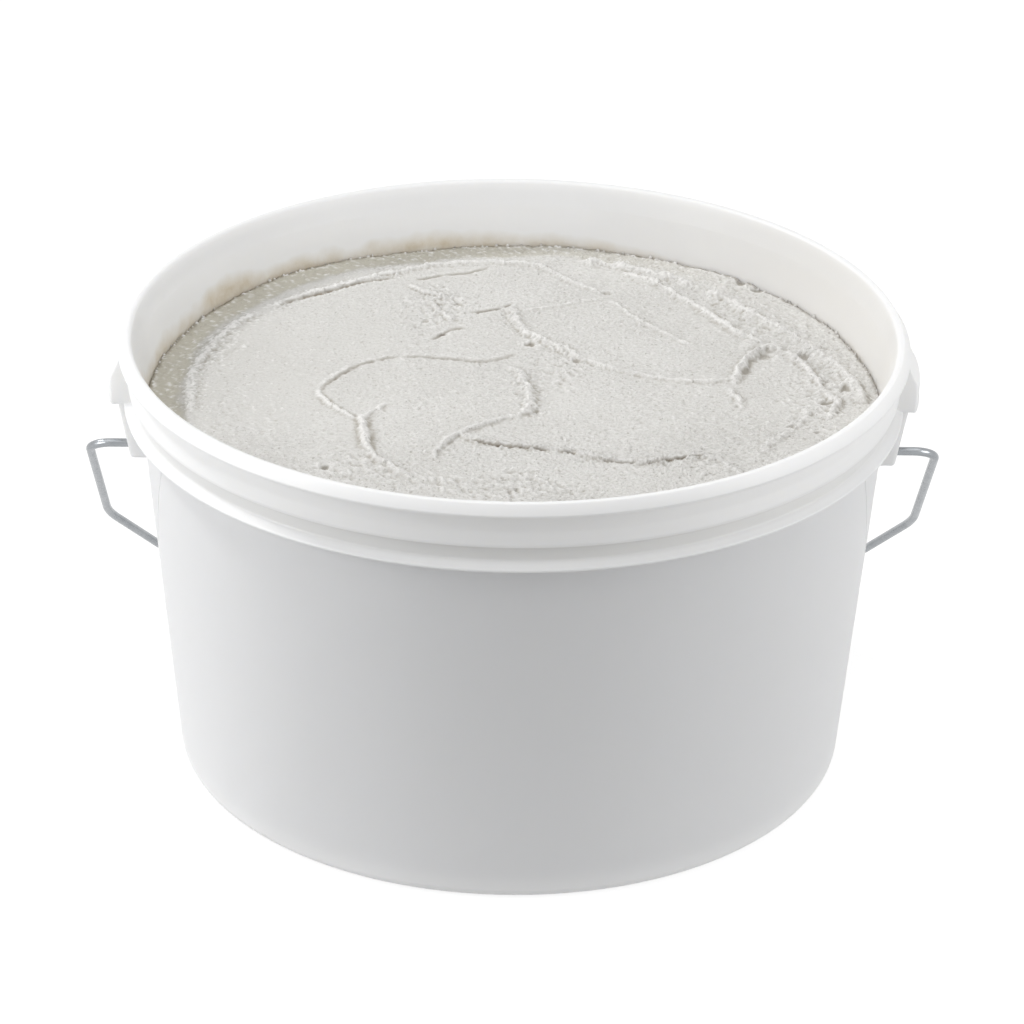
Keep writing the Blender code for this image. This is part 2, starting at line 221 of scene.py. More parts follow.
def inner_radius(z):
    """Inside of the tub at a height: the wall's line, flaring out through the collar."""
    plain = wall_radius(np.minimum(z, collar_z)) - WALL_THICKNESS
    flare_height = collar_depth - BEAD_HEIGHT
    flare = (RIM_RADIUS - LIP_FLARE - (wall_radius(collar_z) - WALL_THICKNESS)) / flare_height
    return plain + flare * np.maximum(0.0, z - collar_z)


def ear_face(z):
    """Outer face of an ear's block at a height."""
    lean = math.tan(math.radians(EAR_DRAFT)) + wall_slope
    return wall_radius(PIVOT_Z) + EAR_STANDOFF + lean * (z - PIVOT_Z)


# Camera and the photograph's pixels

def camera_axes():
    """Camera's place in millimetres and its right, up and forward directions."""
    rise = math.radians(CAMERA_ELEVATION)
    turn = Matrix.Rotation(math.radians(CAMERA_TURN), 3, "Z")
    forward = turn @ Vector((0, math.cos(rise), -math.sin(rise)))
    level = turn @ Vector((1, 0, 0))
    upright = level.cross(forward)
    roll = math.radians(CAMERA_ROLL)
    right = math.cos(roll) * level + math.sin(roll) * upright
    up = math.cos(roll) * upright - math.sin(roll) * level
    place = Vector((0, 0, CAMERA_AIM_Z)) - CAMERA_DISTANCE * forward
    return place, right, up, forward


def make_camera():
    place, right, up, forward = camera_axes()
    data = bpy.data.cameras.new("camera")
    data.sensor_width = SENSOR_WIDTH
    data.lens = SENSOR_WIDTH * FOCAL_PIXELS / PHOTO_SIZE
    camera = new_object("camera", data)
    turn = Matrix((right, up, -forward)).transposed().to_4x4()
    camera.matrix_world = Matrix.Translation(place * MM) @ turn
    bpy.context.scene.camera = camera


def on_paste(pixel):
    """Plan point on the paste's plateau that a pixel of the photograph shows."""
    place, right, up, forward = camera_axes()
    half = PHOTO_SIZE / 2
    ray = forward + (pixel[0] - half) / FOCAL_PIXELS * right - (pixel[1] - half) / FOCAL_PIXELS * up
    point = place + ray * ((fill_z + PLATEAU_RISE - place.z) / ray.z)
    return point.x, point.y


# Mesh helpers

def new_object(name, data):
    thing = bpy.data.objects.new(name, data)
    bpy.context.scene.collection.objects.link(thing)
    return thing


def mesh_object(name, points, faces):
    """A smooth object from points in millimetres."""
    mesh = bpy.data.meshes.new(name)
    mesh.from_pydata((np.asarray(points, dtype=float) * MM).tolist(), [], faces)
    mesh.shade_smooth()
    return new_object(name, mesh)


def bmesh_object(name, bm):
    """A smooth object from a bmesh in millimetres."""
    bmesh.ops.recalc_face_normals(bm, faces=bm.faces)
    bmesh.ops.scale(bm, vec=(MM, MM, MM), verts=bm.verts)
    mesh = bpy.data.meshes.new(name)
    bm.to_mesh(mesh)
    bm.free()
    return new_object(name, mesh)


def boolean(thing, operation, other):
    modifier = thing.modifiers.new(operation.title() + " " + other.name, "BOOLEAN")
    modifier.operation = operation
    modifier.solver = "EXACT"
    modifier.object = other


def round_edges(thing, width):
    modifier = thing.modifiers.new("Round edges", "BEVEL")
    modifier.width = width * MM
    modifier.segments = ROUND_SEGMENTS
    modifier.limit_method = "ANGLE"
    modifier.angle_limit = math.radians(ROUND_ANGLE)


def settle(thing, tools=()):
    """Turn an object's modifiers into plain mesh, and remove the shapes that they used."""
    graph = bpy.context.evaluated_depsgraph_get()
    mesh = bpy.data.meshes.new_from_object(thing.evaluated_get(graph))
    thing.modifiers.clear()
    thing.data = mesh
    for tool in tools:
        bpy.data.objects.remove(tool, do_unlink=True)


def arc(centre, radius, start, end, steps):
    """Points along an arc in the plane of a profile, angles in degrees from the +r direction."""
    turns = np.radians(np.linspace(start, end, steps + 1))
    return [(centre[0] + radius * math.cos(t), centre[1] + radius * math.sin(t)) for t in turns]


def fillet(before, corner, after, radius, steps):
    """Points of the round that replaces a corner of a path in its plane."""
    before, corner, after = Vector(before), Vector(corner), Vector(after)
    one = (before - corner).normalized()
    two = (after - corner).normalized()
    half = one.angle(two) / 2
    centre = corner + (one + two).normalized() * (radius / math.sin(half))
    spoke = corner + one * (radius / math.tan(half)) - centre
    turn = math.copysign(math.pi - 2 * half, -(one.x * two.y - one.y * two.x))
    points = []
    for i in range(steps + 1):
        points.append(tuple(centre + Matrix.Rotation(turn * i / steps, 2) @ spoke))
    return points


def rounded(corners):
    """A path through (r, z, radius) corners, each with its round; a radius of 0 stays sharp."""
    path = [corners[0][:2]]
    for before, corner, after in zip(corners, corners[1:], corners[2:]):
        if corner[2]:
            path += fillet(before[:2], corner[:2], after[:2], corner[2], CORNER_STEPS)
        else:
            path.append(corner[:2])
    return path + [corners[-1][:2]]


def subdivided(path, longest):
    """The path with its long stretches cut into even steps."""
    points = [path[0]]
    for start, end in zip(path, path[1:]):
        count = max(1, math.ceil(math.dist(start, end) / longest))
        for i in range(1, count + 1):
            share = i / count
            points.append(tuple(a + (b - a) * share for a, b in zip(start, end)))
    return points


def ring_faces(rings, sides):
    """Faces between rings of points that follow each other, each with as many points."""
    faces = []
    for low in range(0, (rings - 1) * sides, sides):
        for j in range(sides):
            k = (j + 1) % sides
            faces.append((low + j, low + k, low + sides + k, low + sides + j))
    return faces


def revolve(name, profile, segments):
    """A closed shape turned about Z from a profile whose two ends lie on the axis."""
    path = np.array(profile[1:-1])
    turns = np.arange(segments) * 2 * math.pi / segments
    rings = np.stack([
        np.outer(path[:, 0], np.cos(turns)),
        np.outer(path[:, 0], np.sin(turns)),
        np.repeat(path[:, 1:], segments, axis=1),
    ], axis=-1)
    points = rings.reshape(-1, 3).tolist()
    faces = ring_faces(len(path), segments)
    first, last = len(points), len(points) + 1
    points += [(0.0, 0.0, profile[0][1]), (0.0, 0.0, profile[-1][1])]
    top = (len(path) - 1) * segments
    for j in range(segments):
        k = (j + 1) % segments
        faces.append((first, k, j))
        faces.append((last, top + j, top + k))
    return mesh_object(name, points, faces)


def prism(sections):
    """A closed bmesh lofted through sections, which are lists of as many points each."""
    bm = bmesh.new()
    loops = [[bm.verts.new(point) for point in section] for section in sections]
    count = len(loops[0])
    for near, far in zip(loops, loops[1:]):
        for i in range(count):
            j = (i + 1) % count
            bm.faces.new((near[i], near[j], far[j], far[i]))
    bm.faces.new(loops[0])
    bm.faces.new(loops[-1])
    return bm


def tube(path, radii, sides):
    """Points and faces of a round tube with flat ends along a path."""
    path = [Vector(point) for point in path]
    points = []
    side = None
    for i, here in enumerate(path):
        ahead = (path[min(i + 1, len(path) - 1)] - path[max(i - 1, 0)]).normalized()
        if side is None:
            side = ahead.orthogonal().normalized()
        side = (side - ahead * side.dot(ahead)).normalized()
        other = ahead.cross(side)
        for j in range(sides):
            turn = 2 * math.pi * j / sides
            points.append(here + radii[i] * (math.cos(turn) * side + math.sin(turn) * other))
    faces = ring_faces(len(path), sides)
    faces.append(tuple(reversed(range(sides))))
    faces.append(tuple(range(len(points) - sides, len(points))))
    return points, faces


# Tub

def tub_profile():
    """Outline of the tub's section, from the middle of its underside round to its inside floor."""
    foot_inside = BASE_RADIUS - BASE_CORNER - FOOT_WIDTH
    ring_r = RIM_RADIUS - RING_INSET
    groove_r = RIM_RADIUS - GROOVE_INSET
    groove_z = collar_z + RING_HEIGHT
    lip_r = RIM_RADIUS - BAND_LIP_INSET
    lip_z = groove_z + GROOVE_HEIGHT
    band_r = RIM_RADIUS - BAND_INSET
    bead_z = TUB_HEIGHT - BEAD_HEIGHT
    bead_inside = RIM_RADIUS - BEAD_WIDTH
    lip_inside_z = bead_z - BEAD_HEIGHT
    corners = [
        (0.0, FOOT_HEIGHT, 0),
        (foot_inside - FOOT_HEIGHT, FOOT_HEIGHT, 2 * SMALL_ROUND),
        (foot_inside, 0.0, SMALL_ROUND),
        (BASE_RADIUS, 0.0, BASE_CORNER),
        (wall_radius(collar_z), collar_z, SMALL_ROUND),
        (ring_r, collar_z, SMALL_ROUND),
        (ring_r, collar_z + 2 * SMALL_ROUND, SMALL_ROUND),
        (groove_r, groove_z, 2 * SMALL_ROUND),
        (groove_r, lip_z - SMALL_ROUND, SMALL_ROUND),
        (lip_r, lip_z, 0.6 * SMALL_ROUND),
        (lip_r, lip_z + 2 * SMALL_ROUND, 2 * SMALL_ROUND),
        (band_r, lip_z + 0.45 * BAND_HEIGHT, 12 * SMALL_ROUND),
        (band_r, bead_z, SMALL_ROUND),
        (RIM_RADIUS, bead_z, SMALL_ROUND),
        (RIM_RADIUS, bead_z + 2 * SMALL_ROUND, SMALL_ROUND),
        (RIM_RADIUS - BEAD_WIDTH / 2, TUB_HEIGHT, 1.6 * SMALL_ROUND),
        (bead_inside, TUB_HEIGHT, 3 * SMALL_ROUND),
        (float(inner_radius(lip_inside_z)), lip_inside_z, 12 * SMALL_ROUND),
        (float(inner_radius(collar_z)), collar_z, 12 * SMALL_ROUND),
        (float(inner_radius(floor_z)), floor_z, FLOOR_CORNER),
        (0.0, floor_z, 0),
    ]
    return subdivided(rounded(corners), PROFILE_STEP)


def hood_section(y):
    """Outline of the hood at a distance along the rim from the ear's middle."""
    share = abs(y) / HOOD_HALF_WIDTH
    face = HOOD_RADIUS - HOOD_END_DROP * share ** 4
    inside_bead = RIM_RADIUS - BEAD_WIDTH / 2
    top_z = TUB_HEIGHT - BEAD_HEIGHT / 2
    root = wall_radius(hood_bottom_z) - WALL_THICKNESS / 2
    outline = [(inside_bead - HOOD_ROUND, top_z), (inside_bead, top_z)]
    brow, bottom = (face, hood_brow_z), (face, hood_bottom_z)
    outline += fillet(outline[1], brow, bottom, 3 * HOOD_ROUND, CORNER_STEPS)
    outline += [bottom, (root, hood_bottom_z)]
    return [(math.sqrt(r * r - y * y), y, z) for r, z in outline]


def ear_prism(half_width, low_z, top_z, off_wall, off_face):
    """A block on the wall below a hood, given by its distances from the wall and the ear's face."""
    sections = []
    for y in (-half_width, half_width):
        sections.append([
            (wall_radius(low_z) + off_wall, y, low_z),
            (ear_face(low_z) - off_face, y, low_z),
            (ear_face(top_z) - off_face, y, top_z),
            (wall_radius(top_z) + off_wall, y, top_z),
        ])
    return prism(sections)


def ear_block():
    """Block below the hood that carries the bail."""
    top_z = hood_bottom_z + HOOD_FACE / 2
    return ear_prism(EAR_HALF_WIDTH, ear_bottom_z, top_z, -WALL_THICKNESS / 2, 0.0)


def ear_pocket():
    """Pocket behind the ear's plate, open below, where the bail's upset head turns."""
    low_z = ear_bottom_z - EAR_EDGE
    top_z = PIVOT_Z + HEAD_RADIUS + HEAD_ROOM
    return ear_prism(EAR_HALF_WIDTH - POCKET_SIDE, low_z, top_z, TOUCH_GAP, EAR_PLATE)


def pivot_hole():
    """Round hole through the ear's plate, along X."""
    sections = []
    for x in (wall_radius(PIVOT_Z) + EAR_STANDOFF / 2, ear_face(PIVOT_Z) + EAR_STANDOFF):
        ring = arc((0.0, PIVOT_Z), hole_radius, 0, 360, WIRE_SIDES)[:-1]
        sections.append([(x, y, z) for y, z in ring])
    return prism(sections)


def make_ear(name, turn):
    """One moulded ear: hood and block in one, with the pocket and the pivot hole cut out."""
    columns = np.linspace(-HOOD_HALF_WIDTH, HOOD_HALF_WIDTH, HOOD_COLUMNS)
    ear = bmesh_object(name, prism([hood_section(y) for y in columns]))
    round_edges(ear, HOOD_ROUND)
    block = bmesh_object(name + "_block", ear_block())
    round_edges(block, EAR_ROUND)
    pocket = bmesh_object(name + "_pocket", ear_pocket())
    hole = bmesh_object(name + "_hole", pivot_hole())
    boolean(ear, "UNION", block)
    boolean(ear, "DIFFERENCE", pocket)
    boolean(ear, "DIFFERENCE", hole)
    settle(ear, (block, pocket, hole))
    ear.rotation_euler.z = turn
    return ear


def witness_line(name, turn):
    """The shallow groove that the mould's slide leaves on the wall around an ear."""
    corners = [
        (-WITNESS_HALF_TOP, collar_z, 0),
        (-WITNESS_HALF_BOTTOM, WITNESS_BOTTOM, WITNESS_HALF_BOTTOM / 2),
        (WITNESS_HALF_BOTTOM, WITNESS_BOTTOM, WITNESS_HALF_BOTTOM / 2),
        (WITNESS_HALF_TOP, collar_z, 0),
    ]
    path = []
    for along, z in subdivided(rounded(corners), PROFILE_STEP):
        radius = wall_radius(z)
        away = turn + along / radius
        path.append((radius * math.cos(away), radius * math.sin(away), z))
    return mesh_object(name, *tube(path, [WITNESS_RADIUS] * len(path), WITNESS_SIDES))


def make_tub():
    tub = revolve("tub", tub_profile(), TUB_SEGMENTS)
    sides = {"right": 0.0, "left": math.pi}
    ears = [make_ear("ear_" + side, turn) for side, turn in sides.items()]
    lines = [witness_line("witness_" + side, turn) for side, turn in sides.items()]
    for ear in ears:
        boolean(tub, "UNION", ear)
    for line in lines:
        boolean(tub, "DIFFERENCE", line)
    settle(tub, ears + lines)
    tub.data.shade_smooth()
    tub.data.set_sharp_from_angle(angle=math.radians(TUB_SHARP_ANGLE))
    normals = tub.modifiers.new("Even shading", "WEIGHTED_NORMAL")
    normals.keep_sharp = True
    settle(tub)
    tub.data.materials.clear()
    tub.data.materials.append(plastic_material())
    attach(tub, "tub")
    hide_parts("tub_shell")


# Bail

def bail_half(reach):
    """Centre line and radii of the bail's right half in its plane, from the head to the crown."""
    leg = bail_high[0] - WIRE_RADIUS
    head_end = ear_face(PIVOT_Z) - EAR_PLATE - 2 * TOUCH_GAP
    tip = (head_end - HEAD_THICKNESS, 0.0)
    ear_corner = (leg, 0.0)
    shoulder = (leg, SHOULDER_LENGTH)
    lean = math.tan(math.radians(LEG_LEAN))
    crown_corner = (leg - (reach - SHOULDER_LENGTH) * lean, reach)
    crown = (0.0, reach)
    edge = 0.25 * HEAD_THICKNESS
    route = [(tip, HEAD_RADIUS - edge), ((tip[0] + edge, 0.0), HEAD_RADIUS)]
    route += [((head_end - edge, 0.0), HEAD_RADIUS), ((head_end, 0.0), WIRE_RADIUS)]
    for before, corner, after, radius, steps in (
        (tip, ear_corner, shoulder, EAR_BEND, EAR_BEND_STEPS),
        (ear_corner, shoulder, crown_corner, SHOULDER_BEND, SHOULDER_BEND_STEPS),
        (shoulder, crown_corner, crown, CROWN_BEND, CROWN_BEND_STEPS),
    ):
        route += [(point, WIRE_RADIUS) for point in fillet(before, corner, after, radius, steps)]
    return route


def make_bail():
    """The bail as it hangs: behind the tub, its crown just above the floor."""
    crown_y = bail_high[1] - WIRE_RADIUS
    crown_z = bail_low[2] + WIRE_RADIUS
    reach = math.hypot(crown_y, PIVOT_Z - crown_z)
    half = bail_half(reach)
    route = half + [((-x, y), radius) for (x, y), radius in reversed(half)]
    away = crown_y / reach
    down = (PIVOT_Z - crown_z) / reach
    path = [(x, y * away, PIVOT_Z - y * down) for (x, y), _ in route]
    points, faces = tube(path, [radius for _, radius in route], WIRE_SIDES)
    bail = mesh_object("bail", points, faces)
    bail.data.set_sharp_from_angle(angle=math.radians(WIRE_SHARP_ANGLE))
    bail.data.materials.append(wire_material())
    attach(bail, "bail")
    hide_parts("bail_handle")


# Paste

# Lines that the trowel left, each with the height of its ridge, the widths of its flanks to the
# left and right of its path, the drop from left to right, how crumbly it is, and its points
TROWEL_LINES = [
    (0.0, 1.6, 1.4, 0.5, 0.2, [(320, 392), (330, 381), (345, 371), (362, 363), (380, 359), (400, 357)]),
    (0.0, 1.6, 1.6, 0.4, 0.5, [(400, 357), (430, 356), (460, 359), (485, 361), (520, 353)]),
    (1.0, 1.5, 1.6, 0.3, 0.8, [(359, 420), (345, 414), (328, 402), (318, 393), (317, 389)]),
    (1.5, 1.6, 2.8, 0.5, 0.7, [(378, 462), (366, 448), (363, 434), (361, 420), (359, 414)]),
    (0.5, 1.6, 1.3, 0.5, 0.4, [(361, 420), (368, 414), (378, 408), (390, 401)]),
    (1.2, 2.2, 1.8, 0.4, 1.0, [(410, 478), (392, 466), (374, 456)]),
    (0.7, 2.8, 1.1, 0.6, 0.3, [(433, 459), (438, 449), (450, 440), (465, 433), (480, 427), (500, 421),
        (516, 416)]),
    (0.9, 2.4, 3.6, 1.0, 1.2, [(512, 418), (527, 409), (529, 398), (525, 386), (519, 374), (508, 366)]),
    (0.9, 2.4, 1.3, 0.3, 1.1, [(462, 438), (478, 442), (500, 445), (530, 448), (556, 450), (578, 452),
        (600, 458), (640, 463), (662, 462), (682, 459), (702, 458), (720, 462)]),
    (1.7, 3.0, 1.0, 0.2, 0.6, [(459, 436), (468, 438), (478, 440), (490, 442)]),
    (0.9, 1.8, 1.5, 0.3, 1.0, [(748, 478), (732, 468), (720, 462)]),
    (0.3, 1.4, 1.2, 0.3, 0.4, [(520, 311), (535, 310), (560, 306), (590, 302), (606, 299)]),
    (0.9, 2.0, 3.2, 0.4, 1.3, [(513, 303), (516, 318), (524, 329), (536, 337), (550, 343), (566, 350),
        (583, 358)]),
    (0.4, 1.6, 1.8, 0.6, 0.9, [(575, 355), (590, 361), (610, 367), (640, 374), (670, 379), (700, 381),
        (733, 379)]),
    (1.2, 3.4, 1.2, 0.4, 0.8, [(764, 345), (735, 330), (712, 316), (685, 301), (655, 286), (622, 275)]),
    (1.7, 6.0, 3.4, 1.5, 1.2, [(862, 402), (858, 390), (840, 369), (815, 351), (785, 333), (752, 315),
        (722, 301), (700, 291)]),
    (1.2, 4.6, 3.2, 1.0, 1.1, [(700, 291), (680, 284), (640, 273), (610, 266), (575, 262)]),
    (0.6, 2.6, 1.2, 0.2, 0.7, [(697, 346), (668, 334), (640, 321), (606, 300)]),
    (1.2, 2.2, 2.6, 1.0, 0.8, [(732, 384), (738, 370), (745, 360), (755, 351), (768, 346), (784, 350)]),
    (0.9, 1.8, 1.5, 0.3, 1.1, [(744, 410), (736, 398), (727, 387)]),
    (0.5, 2.4, 3.4, 0.2, 1.3, [(190, 412), (189, 390), (193, 368), (205, 350), (222, 333), (240, 321),
        (262, 311)]),
    (0.5, 2.4, 1.8, 0.3, 1.3, [(262, 311), (285, 302), (310, 294), (335, 288), (360, 281), (385, 274),
        (415, 267)]),
    (0.9, 2.6, 1.6, 0.3, 0.9, [(603, 296), (585, 288), (565, 279), (548, 270), (530, 264), (510, 262),
        (480, 262), (450, 262), (425, 265), (400, 272)]),
    (1.3, 2.6, 2.2, 0.4, 1.2, [(822, 392), (815, 378), (800, 362), (784, 350)]),
    (1.2, 2.4, 1.8, 0.3, 1.2, [(830, 419), (837, 405), (828, 393)]),
    (0.4, 2.6, 3.0, 0.1, 1.2, [(752, 462), (768, 444), (792, 430), (812, 405)]),
    (1.0, 2.0, 1.6, 0.0, 1.4, [(408, 284), (425, 291), (445, 297), (470, 300)]),
    (1.0, 1.8, 1.6, 0.0, 1.4, [(432, 300), (440, 310), (452, 318)]),
]

# Narrow cracks, each with its depth, its half width and its points
CRACKS = [
    (0.5, 0.7, [(320, 391), (331, 381), (346, 371), (363, 363), (381, 359), (401, 357)]),
    (0.4, 0.8, [(401, 357), (430, 357), (460, 360), (485, 362), (518, 354)]),
    (1.0, 0.36, [(470, 441), (482, 443), (500, 446), (530, 449), (552, 451)]),
    (1.2, 0.55, [(560, 451), (569, 452), (579, 452)]),
    (0.7, 0.36, [(592, 457), (610, 461), (640, 464), (664, 463)]),
    (1.1, 0.4, [(656, 463), (672, 461), (688, 459), (706, 458)]),
    (0.7, 0.7, [(470, 312), (490, 309), (505, 306), (514, 303)]),
    (0.5, 0.8, [(280, 304), (310, 297), (335, 291), (360, 284), (394, 277)]),
    (0.5, 0.8, [(415, 279), (445, 273), (470, 271), (490, 266)]),
    (0.6, 0.9, [(432, 340), (441, 333), (452, 328), (466, 326)]),
]

# Holes, each with its middle, its half width in millimetres and its depth
PITS = [
    ((324, 467), 1.6, 1.8), ((317, 468), 1.2, 0.6), ((443, 333), 1.4, 1.0), ((530, 344), 1.8, 1.5),
    ((572, 451), 1.6, 1.0), ((804, 355), 2.4, 1.8), ((826, 403), 2.0, 1.6), ((846, 389), 2.4, 1.6),
    ((795, 428), 2.0, 0.9), ((741, 282), 2.0, 1.4), ((757, 289), 1.8, 1.4), ((535, 410), 1.6, 0.7),
    ((513, 490), 2.2, 0.8), ((512, 471), 1.8, 0.5), ((766, 354), 2.6, 0.8), ((748, 370), 2.2, 0.6),
    ((577, 360), 1.4, 1.0), ((817, 433), 1.0, 1.0), ((458, 303), 1.4, 0.6), ((440, 303), 1.4, 0.6),
    ((426, 319), 1.6, 0.7), ((607, 294), 1.8, 0.8),
]

# Torn patches, each with its middle, its half width and half height in pixels and its roughness
PATCHES = [
    ((560, 369), 24, 26, 0.8), ((537, 395), 10, 18, 0.8), ((437, 308), 32, 28, 0.7),
    ((818, 392), 46, 48, 0.7), ((505, 486), 110, 18, 0.9), ((365, 470), 80, 18, 0.8),
    ((715, 465), 60, 14, 0.6), ((215, 340), 34, 40, 0.5), ((770, 325), 64, 26, 0.6),
    ((700, 430), 90, 30, 0.3), ((660, 278), 80, 16, 0.3), ((240, 415), 60, 40, 0.35),
]

# Noises of the swells, the torn patches and the grain, each with its height, scale and seed
SWELLS = [(0.9, 60.0, 1), (0.5, 22.0, 2)]
TEARS = [(0.5, 5.0, 5), (0.35, 2.4, 6), (0.2, 1.2, 8)]
GRAINS = [(0.08, 3.0, 12), (0.12, 1.2, 13)]


def noise(x, y, scale, seed):
    """Seeded gradient noise, from about -1 to 1, with its lumps about one scale across."""
    size = 512
    turns = np.random.default_rng(seed).uniform(0, 2 * np.pi, (size, size))
    u, v = x / scale, y / scale
    i, j = np.floor(u).astype(int), np.floor(v).astype(int)
    fu, fv = u - i, v - j

    def corner(di, dj):
        turn = turns[(i + di) % size, (j + dj) % size]
        return np.cos(turn) * (fu - di) + np.sin(turn) * (fv - dj)

    su = fu ** 3 * (fu * (6 * fu - 15) + 10)
    sv = fv ** 3 * (fv * (6 * fv - 15) + 10)
    near = corner(0, 0) * (1 - su) + corner(1, 0) * su
    far = corner(0, 1) * (1 - su) + corner(1, 1) * su
    return 1.4 * (near * (1 - sv) + far * sv)


def smooth_path(pixels):
    """Plan points along a smooth curve through pixels of the photograph, about PATH_STEP apart."""
    knots = np.array([on_paste(pixel) for pixel in pixels])
    ends = [2 * knots[0] - knots[1]], [2 * knots[-1] - knots[-2]]
    knots = np.concatenate([ends[0], knots, ends[1]])
    points = []
    for a, b, c, d in zip(knots, knots[1:], knots[2:], knots[3:]):
        count = max(2, math.ceil(np.linalg.norm(c - b) / PATH_STEP))
        t = np.linspace(0, 1, count, endpoint=False)[:, None]
        points.append(0.5 * (2 * b + (c - a) * t + (2 * a - 5 * b + 4 * c - d) * t ** 2
                             + (3 * b - a - 3 * c + d) * t ** 3))
    return np.concatenate(points + [knots[-2:-1]])


def near_path(x, y, path, reach):
    """Points within reach of a path: their numbers, signed distances and places along it."""
    low = path.min(axis=0) - reach
    high = path.max(axis=0) + reach
    picked = np.nonzero((x > low[0]) & (x < high[0]) & (y > low[1]) & (y < high[1]))[0]
    px, py = x[picked], y[picked]
    best = np.full(len(picked), np.inf)
    sign = np.ones(len(picked))
    along = np.zeros(len(picked))
    run = 0.0
    for (ax, ay), (bx, by) in zip(path, path[1:]):
        dx, dy = bx - ax, by - ay
        length = math.hypot(dx, dy)
        share = np.clip(((px - ax) * dx + (py - ay) * dy) / length ** 2, 0, 1)
        away = np.hypot(px - ax - share * dx, py - ay - share * dy)
        closer = away < best
        best[closer] = away[closer]
        sign[closer] = np.sign(dx * (py - ay) - dy * (px - ax))[closer]
        along[closer] = (run + share * length)[closer]
        run += length
    kept = best < reach
    return picked[kept], (best * sign)[kept], along[kept], run


def end_fade(along, run, length):
    """1 along a path, falling to 0 at its two ends."""
    return np.clip(np.minimum(along, run - along) / length, 0, 1) ** 0.7


def ramp(values, low, high):
    """0 below low, 1 above high, and a smooth rise between."""
    share = np.clip((values - low) / (high - low), 0, 1)
    return share * share * (3 - 2 * share)


def layered(x, y, layers):
    """Sum of noises, each given by its height, its scale and its seed."""
    return sum(height * noise(x, y, scale, seed) for height, scale, seed in layers)


def crumbs(x, y, scale, seed, share):
    """Height in millimetres of rough crumbs strewn over the surface, about one scale apart."""
    size = 256
    rng = np.random.default_rng(seed)
    places = rng.uniform(0.2, 0.8, (2, size, size))
    radii = rng.uniform(0.18, 0.46, (size, size)) * (rng.uniform(0, 1, (size, size)) < share)
    u = x / scale + 0.3 * noise(x, y, 0.8 * scale, seed + 1)
    v = y / scale + 0.3 * noise(x, y, 0.8 * scale, seed + 2)
    i, j = np.floor(u).astype(int), np.floor(v).astype(int)
    height = np.zeros_like(x)
    for di in (-1, 0, 1):
        for dj in (-1, 0, 1):
            a, b = (i + di) % size, (j + dj) % size
            away = (u - i - di - places[0][a, b]) ** 2 + (v - j - dj - places[1][a, b]) ** 2
            height = np.maximum(height, radii[a, b] ** 2 - away)
    return scale * np.sqrt(height)


def ring_noise(x, y, scale, seed):
    """Noise that changes only around the tub's axis; its lumps are one scale of a radian wide."""
    radius = np.maximum(np.hypot(x, y), 1e-6)
    return noise(x / radius, y / radius, scale, seed)


def add_trowel_lines(x, y, relief):
    for number, (ridge, left, right, drop, crumble, pixels) in enumerate(TROWEL_LINES):
        picked, away, along, run = near_path(x, y, smooth_path(pixels), LINE_REACH)
        px, py = x[picked], y[picked]
        away = away + (0.4 + 0.5 * crumble) * noise(px, py, 5.0, 300 + number)
        away = away + (0.3 + 0.4 * crumble) * noise(px, py, 1.6, 340 + number)
        share = end_fade(along, run, 6.0) * (1 + 0.65 * noise(along, along * 0, 6.0, 380 + number))
        slack = 1 + 0.35 * noise(along, along * 0, 9.0, 420 + number)
        fall = ramp(-away, 0, right * slack)
        rise = np.clip(1 - away / (left * slack), 0, 1) ** 1.6
        crest = np.where(away > 0, rise, 1 - fall)
        step = (0.5 - fall) * np.exp(-(np.abs(away) / STEP_REACH) ** 1.3)
        strewn = np.exp(-((away + 0.4 * right) / (left + right)) ** 2)
        lumps = crumbs(px, py, 1.5, 460 + 3 * number, 0.6) + 0.5 * noise(px, py, 1.1, 640 + number)
        relief[picked] += share * (ridge * crest + drop * step + 0.6 * crumble * strewn * lumps)


def add_cracks(x, y, relief):
    """Cut the cracks into the relief, and return how much painted shade each point takes for lying in
    one.
    """
    dark = np.zeros_like(x)
    for number, (depth, width, pixels) in enumerate(CRACKS):
        picked, away, along, run = near_path(x, y, smooth_path(pixels), 4 * width)
        px, py = x[picked], y[picked]
        away = away + 0.5 * noise(px, py, 3.0, 600 + number) + 0.2 * noise(px, py, 1.1, 660 + number)
        share = end_fade(along, run, 3.0) * ramp(noise(along, along * 0, 5.0, 620 + number), -0.9, 0.0)
        cut = share * np.exp(-(away / width) ** 2)
        relief[picked] -= depth * cut
        dark[picked] = np.maximum(dark[picked], np.minimum(0.85 * depth, 0.9) * cut)
    return dark


def add_pits(x, y, relief):
    for number, (pixel, width, depth) in enumerate(PITS):
        cx, cy = on_paste(pixel)
        away = np.hypot(x - cx, y - cy)
        picked = np.nonzero(away < 4 * width)[0]
        ragged = away[picked] * (1 + 0.4 * noise(x[picked], y[picked], 1.8, 500 + number))
        relief[picked] -= depth * np.exp(-(ragged / width) ** 4)


def patch_share(x, y):
    """How torn the surface is at each point, from 0 to 1."""
    share = np.zeros_like(x)
    for pixel, half_width, half_height, rough in PATCHES:
        cx, cy = on_paste(pixel)
        wide = abs(on_paste((pixel[0] + half_width, pixel[1]))[0] - cx)
        deep = abs(on_paste((pixel[0], pixel[1] + half_height))[1] - cy)
        away = np.hypot((x - cx) / wide, (y - cy) / deep) + 0.5 * noise(x, y, 11.0, 560)
        share = np.maximum(share, rough * ramp(-away, -1.2, -0.4))
    return share


def wall_zone(x, y, edge):
    """1 beside the wall, where the trowel didn't reach, falling to 0 on the trowelled surface."""
    width = ROUGH_WIDTH * (1 + 0.25 * ring_noise(x, y, 0.25, 15) + 0.12 * noise(x, y, 6.0, 16))
    return ramp(width - edge + np.hypot(x, y), -2.0, 2.0)


